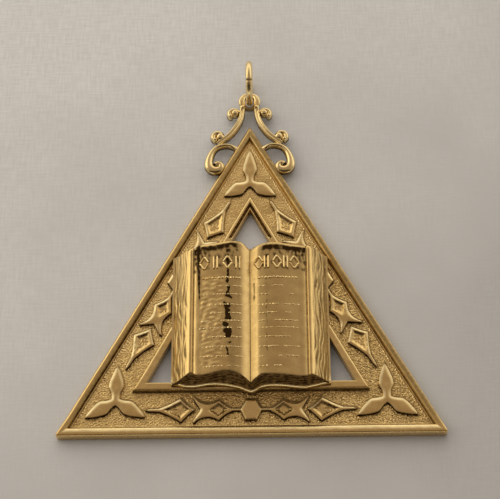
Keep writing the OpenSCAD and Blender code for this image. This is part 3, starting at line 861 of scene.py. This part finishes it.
def buildEye():
    # thick cheeks, round wire across the top, thin foot that leaves room for the ring
    c = crest
    n, m = 96, 22
    verts, tone = [], []
    for i in range(n):
        a = 2 * math.pi * i / n
        ca, sa = math.cos(a), math.sin(a)
        up, down, side = max(0.0, sa) ** 2, max(0.0, -sa) ** 2, ca * ca
        inner = 1 / math.hypot(ca / c["eyeGap"], sa / c["eyeTop" if sa > 0 else "eyeFoot"])
        outer = c["eyeR"] + 0.04 * side - c["footThin"] * down
        thick = c["cheekThick"] * side + c["eyeWire"] * up + c["footThick"] * down
        mid, half = (inner + outer) / 2, (outer - inner) / 2
        square = 0.62 if sa < 0.5 else 0.62 + 0.76 * (sa - 0.5)    # 1 is round, less is squarer
        for j in range(m):
            b = 2 * math.pi * j / m
            r = mid + half * power(math.cos(b), square)
            z = c["mid"] + thick * power(math.sin(b), square + 0.1)
            verts.append((r * ca, triH + c["eyeRise"] + r * sa, z))
            # painted shade on the inner walls and under the eye's foot
            wall = math.sin(b) < 0.2 and (math.cos(b) < -0.5 or sa < -0.3)
            tone.append(0.75 if wall else 0.55 * float(smooth(0.6, 0.85, -sa)))
    return verts, gridFaces(n, m, True, True), tone


print("crest")
addPiece("crestScrolls", buildCrest(), crestGilt, 60)
addPiece("crestEye", buildEye(), crestGilt, 60)


ring = dict(mid=4.1, wire=0.7, gap=0.07, split=0.25, splitAt=113.0, endWear=0.06)


def buildRing():
    # hangs on the eye's wire and leans down to the floor; the split is near its top
    c, mid, wire = crest, ring["mid"], ring["wire"]
    hang = mid - wire - c["eyeWire"] - ring["gap"]
    rise = mid + wire
    lean = math.asin((rise - c["mid"]) / hang)
    midY = triH + c["eyeRise"] + c["eyeR"] - c["eyeWire"] + hang * math.cos(lean)
    halfSplit = math.asin(ring["split"] / 2 / mid)
    start = math.radians(ring["splitAt"]) + halfSplit
    sweep = 2 * math.pi - 2 * halfSplit
    n, m = 160, 28
    verts, tone = [], []
    for i in range(n + 1):
        a = start + sweep * i / n
        fromEnd = min(i / n, 1 - i / n) * sweep * mid
        thin = wire * (1 - ring["endWear"] * (1 - smooth(0.0, 0.12, fromEnd)))    # cut ends are rounded off
        for j in range(m):
            b = 2 * math.pi * j / m
            r = mid + thin * math.cos(b)
            verts.append((thin * math.sin(b), midY + r * math.cos(a), rise + r * math.sin(a)))
            tone.append(0.5 * (1 - float(smooth(0.0, 0.1, fromEnd))))
    return verts, tubeFaces(n + 1, m), tone


print("split ring")
splitRing = addPiece("splitRing", buildRing(), wireGilt, 50, "ring")
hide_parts("jump_ring")


book = dict(
    back=2.56, cover=0.9, sink=0.25, half=15.35, coverHalf=15.6,
    # height of the pages above the book's back, from the gutter outwards
    section=[(0, 3.74), (0.08, 3.77), (0.3, 3.91), (0.65, 4.13), (1.0, 4.35), (1.35, 4.53), (2.4, 4.84),
             (4.4, 5.08), (6.0, 5.04), (7.8, 4.8), (9.5, 4.48), (10.8, 4.2), (11.08, 4.08), (11.24, 4.1),
             (11.4, 4.34), (11.7, 4.42), (12.1, 4.3), (12.5, 3.98), (15.1, 1.1), (15.35, 0.75)],
    # where the pages end at the foot and the head, left and right
    footLeft=[(0, 8.95), (0.95, 9.72), (1.9, 10.4), (3.0, 10.85), (4.8, 11.22), (7.6, 10.68), (9.6, 10.45),
              (10.7, 10.6), (11.3, 10.98), (12.2, 10.7), (14.1, 10.05), (15.4, 9.98)],
    footRight=[(0, 8.95), (1.05, 9.76), (1.9, 10.32), (3.6, 10.38), (5.7, 10.28), (7.8, 10.14), (9.6, 10.06),
               (11.1, 10.24), (12.0, 10.36), (13.4, 10.15), (15.4, 9.98)],
    headLeft=[(0, 37.55), (0.9, 38.4), (1.7, 38.9), (2.8, 39.15), (4.1, 39.12), (5.5, 38.92), (6.7, 38.74),
              (8.3, 38.66), (10.2, 38.45), (11.2, 38.0), (12.2, 37.7), (13.6, 37.3), (15.4, 36.7)],
    headRight=[(0, 37.55), (1.3, 38.15), (2.4, 38.5), (3.7, 38.7), (5.0, 38.72), (6.4, 38.58), (8.3, 38.36),
               (10.3, 38.26), (11.6, 38.2), (12.3, 38.0), (13.8, 37.4), (15.4, 36.7)],
    # front edge of the cover across the whole width
    front=[(-15.6, 9.95), (-14.4, 9.9), (-13.3, 9.56), (-11.3, 9.38), (-9.7, 9.58), (-8.0, 9.82), (-5.9, 9.8),
           (-4.6, 9.62), (-3.4, 9.33), (-2.1, 8.98), (-0.9, 8.46), (0.1, 8.24), (1.0, 8.5), (1.9, 9.05),
           (3.5, 9.46), (5.7, 9.47), (7.8, 9.2), (9.7, 9.0), (10.8, 9.0), (11.7, 9.18), (13.1, 9.47),
           (14.2, 9.75), (15.6, 9.95)],
    # across the cover's front lip: distance in from the edge, height
    lip=[(0.0, 0.0), (0.0, 0.32), (0.02, 0.48), (0.16, 0.71), (0.3, 0.91), (0.36, 0.95), (0.46, 0.95),
         (0.7, 0.85)],
    coverHead=39.15, leafDeep=0.042, endDeep=0.03,
    lineHigh=0.19, titleHigh=0.28, titleStroke=0.48,
    rows=[30.85, 29.0, 27.25, 25.0, 23.2, 21.55, 20.05, 18.1, 16.05, 14.05, 12.0],
    lozengeAt=(-9.1, -4.45, 1.75, 5.4, 8.85), barsAt=(-6.85, -2.4, 3.3, 7.1), barSpread=0.36,
    titleY=34.2, titleTall=1.45, titleWide=0.9,
)


def curve(points):
    # smooth curve through given points
    xs, ys = np.array(points, float).T
    slopes = np.gradient(ys, xs)

    def at(x):
        x = np.clip(np.asarray(x, float), xs[0], xs[-1])
        i = np.clip(np.searchsorted(xs, x, side="right") - 1, 0, len(xs) - 2)
        h = xs[i + 1] - xs[i]
        t = (x - xs[i]) / h
        return ((1 + 2 * t) * (1 - t) ** 2 * ys[i] + t * (1 - t) ** 2 * h * slopes[i]
                + t * t * (3 - 2 * t) * ys[i + 1] + t * t * (t - 1) * h * slopes[i + 1])

    return at


curveNames = ("section", "front", "footLeft", "footRight", "headLeft", "headRight")
curves = {name: curve(book[name]) for name in curveNames}


def pageEnd(end, x):
    return np.where(np.asarray(x) < 0, curves[end + "Left"](np.abs(x)), curves[end + "Right"](np.abs(x)))


def pageZ(x):
    return book["back"] + curves["section"](np.abs(x))


def leftLine(x, y):
    # painted dark reflection: an upright line of dark blots on the left page, heavy in its lower half
    zero = 0 * x
    wide = (0.26 + 0.4 * between(y, 16.0, 17.2, 26.6, 27.8)) * (1 + 0.2 * waves(zero + 3, y, 1.2, 10, 55))
    off = np.abs(x + 4.4 + 0.1 * np.sin(y * 1.3) + 0.08 * waves(zero + 5, y, 1.6, 10, 56)) / wide
    blots = np.clip(1.0 + 0.8 * waves(0.35 * x, y, 1.45, 14, 57), 0, 1)
    return 1.8 * (1 - smooth(0.7, 1.15, off)) * blots * between(y, 12.6, 14.5, 36.6, 37.6)


def pageTone(x, y):
    # darker marks on the pages: painted shade under the head rim, in the gutter and over the right page;
    # painted dark reflections round the title and in the left upright line; darker corners, shoulders and
    # other upright lines; faint margin lines
    a = np.abs(x)
    down = pageEnd("head", x) - y
    rag = 0.5 + 0.5 * waves(x, y, 1.5, 14, 51)
    fine = 0.5 + 0.5 * waves(x, y * 0.6, 0.8, 14, 52)
    # painted shade under the head rim
    rim = between(down, 0.45, 0.8, 1.3, 2.2) * np.clip(0.9 + 0.6 * rag, 0, 1.4) * smooth(1.7, 3.0, a)
    corner = smooth(6.8, 9.4, a) * between(down, 0.5, 1.0, 2.4, 5.0) * np.clip(0.35 + 0.7 * fine, 0, 1)
    cloudy = np.clip(0.38 + 0.5 * (rag - 0.5) + 0.3 * (fine - 0.5), 0, 0.8)
    # painted dark reflection round the title
    title = between(down, 1.4, 2.0, 5.4, 6.4) * cloudy * smooth(1.5, 2.4, a)
    shoulder = 1.7 * stripe(x, -10.35 + 0.03 * (37.5 - y), 0.12 + 0.03 * np.clip(y - 26, 0, 10))
    shoulder = shoulder * smooth(25.0, 27.5, y) * np.clip(0.75 + 0.4 * fine, 0, 1)
    breaks = np.clip(0.45 + 0.8 * waves(0 * x + 9, y, 1.5, 10, 54), 0, 1)
    rightLine = 0.8 * stripe(x, 3.24 + 0.08 * np.sin(y), 0.13) * breaks * smooth(13.5, 15, y)
    margin = 0.3 * stripe(x, 9.75, 0.09) * (1 - smooth(30, 32, y))
    margin = margin + 0.25 * stripe(x, -9.6, 0.08) * (1 - smooth(22, 24, y))
    smudge = 0.75 * stripe(x, 0.8, 0.2) * between(y, 25.4, 26.6, 30.4, 31.4)
    smudge = smudge * np.clip(0.4 + 0.8 * fine, 0, 1)
    besideLine = 0.27 * between(x, -4.3, -4.0, -2.2, -1.5)    # duller between the dark line and the fold
    # painted shade over the right page
    rightShade = np.maximum(0.12 * between(x, 0.1, 0.3, 1.0, 1.4), 0.13 * smooth(0.9, 2.2, x))
    dull = 0.08 + np.maximum(besideLine, rightShade)
    leftDark = leftLine(x, y)
    marks = np.maximum.reduce([rim, corner, title, shoulder, leftDark, rightLine, margin, smudge, dull])
    # painted shade in the gutter fold
    gutter = 0.8 * (1 - smooth(0.03, 0.11, a))
    edge = 0.8 * stripe(a, 11.16, 0.09)
    return np.clip(marks * (1 - smooth(11.0, 11.15, a)) + gutter + edge, 0, 1.5)


def bookColumns():
    # columns across the pages, closer at the gutter and the shoulders
    half = [0, 0.06, 0.12, 0.2, 0.3] + list(np.arange(0.4, 10.9, 0.115)) + list(np.arange(10.92, 12.6, 0.06))
    half += list(np.linspace(12.62, 15.2, 40)) + [book["half"]]
    return np.array([-v for v in reversed(half[1:])] + half)


def buildBook():
    b = book
    xs = bookColumns()
    a, sign = np.abs(xs), np.sign(xs)
    leaf = between(a, 12.3, 12.7, 15.0, 15.3)
    low = b["back"] + b["cover"] - b["sink"]
    foot = pageEnd("foot", xs)
    head = pageEnd("head", xs) + 0.13 * leaf * np.sin(a * 10.5 + sign)    # leaf ends are uneven
    footLow = np.minimum(curves["front"](xs) + 0.42, foot - 0.15)
    headLow = head + 0.5 - 0.3 * smooth(12, 15, a)
    grids, tones = [], []

    def leafLines(y):
        wander = a + 0.2 * np.sin(y * 0.47 + 1.4 * sign) + 0.1 * np.sin(y * 1.25 + 2.2 * a)
        wander = wander + 0.16 * np.sin(y * 0.19 + 1.0)
        return 0.7 * np.sin(wander * 10.4) + 0.9 * waves(wander * 1.9, y * 0.24 + sign * 40, 1.2, 14, 41)

    def row(y, k, endDark=None):
        # k is 1 on the pages and falls to 0 down an end face
        lines = leafLines(y)
        smeared = between(a, 5.0, 5.8, 9.4, 10.0) * between(y, 11.5, 13, 30, 32) * (xs < 0)
        rolled = 0.24 * np.clip((0.8 - (head - y)) / 0.8, 0, 1) ** 2 * (1 - leaf)    # rounded head edge
        top = pageZ(xs) + b["leafDeep"] * lines * leaf + 0.012 * waves(xs, y, 3.4, 12, 42) - rolled
        top = top + 0.026 * smeared * waves(xs * 0.6, y, 1.15, 14, 44)
        grids.append(np.stack([xs, y, low + (top - low) * k], -1))
        if endDark:
            stack = 0.12 * np.sin((1 - k) * 26 + 0.5 * np.sin(xs))
            stack = stack + 0.1 * waves(xs, xs * 0 + k * 9, 2.0, 10, 43)
            tones.append(np.clip(0.78 + stack, 0.1, 1) * endDark)
        else:
            # painted shade: the leaves on the right and the outer leaf edges are darker
            dark = pageTone(xs, y) * (1 - leaf) + leaf * np.where(xs < 0, 0.18, 0.25)
            dark = dark + 0.5 * smooth(14.9, 15.2, a) + 0.42 * leaf * smooth(0.6, 1.8, -lines)
            tones.append(np.clip(dark, 0, 1.4))

    for k in np.arange(24) / 24:    # foot end, hollowed a little and lined with leaf edges; its dark colour is a painted dark reflection
        hollow = b["endDeep"] * np.sin((1 - k) * 30 + 0.5 * np.sin(xs)) * np.sin(np.pi * k)
        row(footLow + (foot - footLow) * (k ** 0.8) + hollow, k, 1.0)
    for share in np.concatenate([[0, 0.001, 0.003], np.linspace(0.007, 0.993, 176), [0.997, 0.999, 1]]):
        atEnds = 1 - between(share, 0, 0.003, 0.997, 1.0)
        row(foot + (head - foot) * share, 1 - 0.02 * atEnds)
    # head end, less dark: painted dark reflection
    for k in 1 - np.arange(1, 15) / 14:
        row(headLow + (head - headLow) * k, k, 0.6)
    return np.array(grids).reshape(-1, 3), blockFaces(len(grids), len(xs)), np.array(tones).reshape(-1)


def buildCover():
    b = book
    xs = np.linspace(-b["coverHalf"], b["coverHalf"], 200)
    near = curves["front"](xs) - 0.1
    far = b["coverHead"] - 0.55 * np.clip(np.abs(xs) - 12, 0, None)
    wave = 0.06 * np.sin(np.abs(xs) * 0.9 + 0.3)
    lipIn, lipEnd = b["lip"][-1]
    # painted shade on the lower face of the lip, painted highlight over its upper rounding
    rows = [(near + inward, b["back"] + high + wave * (high > 0.3), 0.8 if high < 0.4 else -0.6)
            for inward, high in b["lip"]]
    rows += [(near + lipIn + (far - near - lipIn) * share, b["back"] + lipEnd, 0.0)
             for share in np.linspace(0.05, 1, 30)]
    rows.append((far + 0.02, b["back"], 0.0))
    grid = [np.stack(np.broadcast_arrays(xs, y, z), -1) for y, z, dark in rows]
    tone = np.repeat([dark for y, z, dark in rows], len(xs))
    return np.array(grid).reshape(-1, 3), blockFaces(len(rows), len(xs)), tone


ridge = [(-0.5, -0.16), (-0.5, -0.02), (-0.3, 0.75), (0.0, 1.0), (0.3, 0.75), (0.5, -0.02), (0.5, -0.16)]


def stroke(shells, start, end, wide, high, step=0.22):
    # small raised ridge that follows the page
    start, end = np.array(start, float), np.array(end, float)
    length = np.linalg.norm(end - start)
    n = max(3, int(length / step) + 2)
    along = (end - start) / length
    across = np.array([-along[1], along[0]])
    verts = []
    for i in range(n):
        fade = 1.0 if 0 < i < n - 1 else 0.25
        for u, v in ridge:
            q = start + along * length * i / (n - 1) + across * u * wide
            verts.append((q[0], q[1], float(pageZ(q[0])) + (v * high * fade if v > 0 else v)))
    shells.add(verts, tubeFaces(n, len(ridge)), [0.0] * len(verts))


def buildLines():
    # broken raised lines stand for rows of small text; the first row is bolder
    shells = Shells()
    rng = np.random.default_rng(5)
    for row, y in enumerate(book["rows"]):
        for side in (-1, 1):
            x = 1.5 + rng.uniform(0, 0.3)
            end = 9.7 - (rng.uniform(0, 4.0) if row % 3 == 1 else rng.uniform(0, 0.5))
            while x < end:
                length = rng.uniform(0.3, 0.75)
                if row == 0 or rng.uniform() > 0.16:
                    wide = 0.4 if row == 0 else rng.uniform(0.2, 0.34)
                    high = book["lineHigh"] * (1.25 if row == 0 else rng.uniform(0.5, 1.0))
                    lift = rng.uniform(-0.05, 0.05)
                    stroke(shells, (side * x, y + lift), (side * (x + length), y + lift * 0.5), wide, high)
                x += length + rng.uniform(0.14, 0.28)
    return shells.shape()


def buildTitle():
    # plain lozenges and bars fill the place of a title
    b = book
    shells = Shells()
    y, tall, wide = b["titleY"], b["titleTall"], b["titleWide"]
    for x in b["barsAt"]:
        for barX in (x - b["barSpread"], x + b["barSpread"]):
            stroke(shells, (barX, y - tall), (barX, y + tall), b["titleStroke"], b["titleHigh"])
    for x in b["lozengeAt"]:
        corners = [(x, y + tall), (x + wide, y), (x, y - tall), (x - wide, y)]
        for p, q in zip(corners, corners[1:] + corners[:1]):
            stroke(shells, p, q, b["titleStroke"], b["titleHigh"])
    return shells.shape()


print("open book")
bookPages = addPiece("bookPages", buildBook(), pageGilt, 55)
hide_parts("book")
addPiece("bookCover", buildCover(), leafGilt, 50)
addPiece("pageLines", buildLines(), leafGilt, 40)
addPiece("titleMarks", buildTitle(), leafGilt, 40)

for name in ("rivet_left", "rivet_right"):
    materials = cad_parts[name].data.materials
    materials.clear()
    materials.append(rivetBrass)


floor = dict(
    size=1.6, under=0.00003,
    pale=(0.575, 0.57, 0.568), shade=(0.382, 0.375, 0.371), thread=(0.43, 0.421, 0.412),
    darker=(4.6, -6.4, 0),    # painted shade: a little darker towards the viewer's right and towards the viewer
    threads=((260, 2600, 1), (2600, 260, 1)),    # faint upright and level threads
)


def paleCloth():
    material = bpy.data.materials.new("paleCloth")
    material.use_nodes = True
    tree = material.node_tree
    cloth = tree.nodes["Principled BSDF"]
    cloth.inputs["Roughness"].default_value = 0.9
    cloth.inputs["Specular IOR Level"].default_value = 0.1
    place = newNode(tree, "TexCoord").outputs["Object"]
    cloudy = noise(tree, place, 28, 3)
    # painted shade across the cloth
    shift = maths(tree, "ADD", dotWith(tree, place, floor["darker"]), cloudy, clamp=True)
    tint = mixed(tree, shift, floor["pale"], floor["shade"])
    weave = maths(tree, "ADD", *(noise(tree, stretched(tree, place, s), 1.0, 2) for s in floor["threads"]))
    woven = mixed(tree, remap(tree, weave, 0, 0.55, 0.75, 1.25), tint, floor["thread"])
    tree.links.new(woven, cloth.inputs["Base Color"])
    bump = newNode(tree, "Bump", {"Strength": 0.3, "Distance": 0.1 * mm, "Height": weave})
    tree.links.new(bump.outputs[0], cloth.inputs["Normal"])
    return material


floorMesh = bpy.data.meshes.new("paleFloor")
s = floor["size"]
corners = [(x, y, -floor["under"]) for x, y in ((-s, -s), (s, -s), (s, s), (-s, s))]
floorMesh.from_pydata(corners, [], [(0, 1, 2, 3)])
floorMesh.materials.append(paleCloth())
paleFloor = bpy.data.objects.new("paleFloor", floorMesh)
bpy.context.scene.collection.objects.link(paleFloor)


light = dict(
    horizon=(1.15, 1.07, 0.9), overhead=(0.325, 0.25, 0.185), dark=(0.035, 0.026, 0.018),
    sides=(0.42, 0.36, 0.27), behind=(1.1, 1.0, 0.8),
    gleamToward=(-0.85, 0.42, 0.35), gleam=(1.5, 1.36, 1.05),
    ceiling=(-0.16, 0.2, 0.45), ceilingSize=1.0, ceilingPower=3.6, ceilingTint=(1, 0.97, 0.92),
)


def softStudio():
    world = bpy.data.worlds.new("softStudio")
    bpy.context.scene.world = world
    world.use_nodes = True
    tree = world.node_tree
    background = tree.nodes["Background"]
    place = newNode(tree, "TexCoord").outputs["Generated"]
    unit = newNode(tree, "VectorMath", {0: place}, operation="NORMALIZE").outputs[0]
    axes = newNode(tree, "SeparateXYZ", {0: unit})
    up = axes.outputs["Z"]

    def ramp(value, low, high):
        return remap(tree, value, 0, 1, low, high, "SMOOTHSTEP")

    def toward(direction, low, high):
        return ramp(dotWith(tree, unit, Vector(direction).normalized()), low, high)

    wall = ramp(axes.outputs["Y"], -0.05, 0.36)    # a window wall beyond the jewel
    colour = mixed(tree, wall, light["sides"], light["horizon"])
    colour = mixed(tree, ramp(up, 0.3, 0.98), colour, light["overhead"])
    colour = mixed(tree, toward(light["gleamToward"], 0.87, 0.97), colour, light["gleam"])
    viewer = maths(tree, "MULTIPLY", ramp(up, 0.12, 0.3), toward((0, -1, 0), 0.22, 0.62))
    colour = mixed(tree, viewer, colour, light["dark"])    # dark side, where the viewer stands
    low = maths(tree, "MULTIPLY", ramp(up, 0.26, 0.12), toward((0, -1, 0), 0.6, 0.9))
    colour = mixed(tree, low, colour, light["behind"])    # light wall low behind the viewer
    tree.links.new(colour, background.inputs["Color"])


def ceilingLight():
    lamp = bpy.data.lights.new("ceilingLight", "AREA")
    lamp.shape = "RECTANGLE"
    lamp.size = lamp.size_y = light["ceilingSize"]
    lamp.energy = light["ceilingPower"]
    lamp.color = light["ceilingTint"]
    holder = bpy.data.objects.new("ceilingLight", lamp)
    bpy.context.scene.collection.objects.link(holder)
    holder.location = light["ceiling"]
    holder.rotation_mode = "QUATERNION"
    holder.rotation_quaternion = (-Vector(light["ceiling"])).to_track_quat("-Z", "Y")
    holder.visible_glossy = False    # it lights the floor and the shadows; the sky gives the reflections


softStudio()
ceilingLight()

camera = dict(
    place=(0.005015, -0.138532, 0.276046),
    turn=(26.529, 1.192, -0.2635),    # degrees about x, y and z from looking straight down
    lens=108.0, sensor=36.0, near=0.01, far=20,
)
lens = bpy.data.cameras.new("photoCamera")
lens.lens, lens.sensor_width = camera["lens"], camera["sensor"]
lens.clip_start, lens.clip_end = camera["near"], camera["far"]
eye = bpy.data.objects.new("photoCamera", lens)
bpy.context.scene.collection.objects.link(eye)
eye.location = camera["place"]
eye.rotation_euler = [math.radians(degrees) for degrees in camera["turn"]]
bpy.context.scene.camera = eye
bpy.context.scene.view_settings.view_transform = "Standard"

print("scene ready")
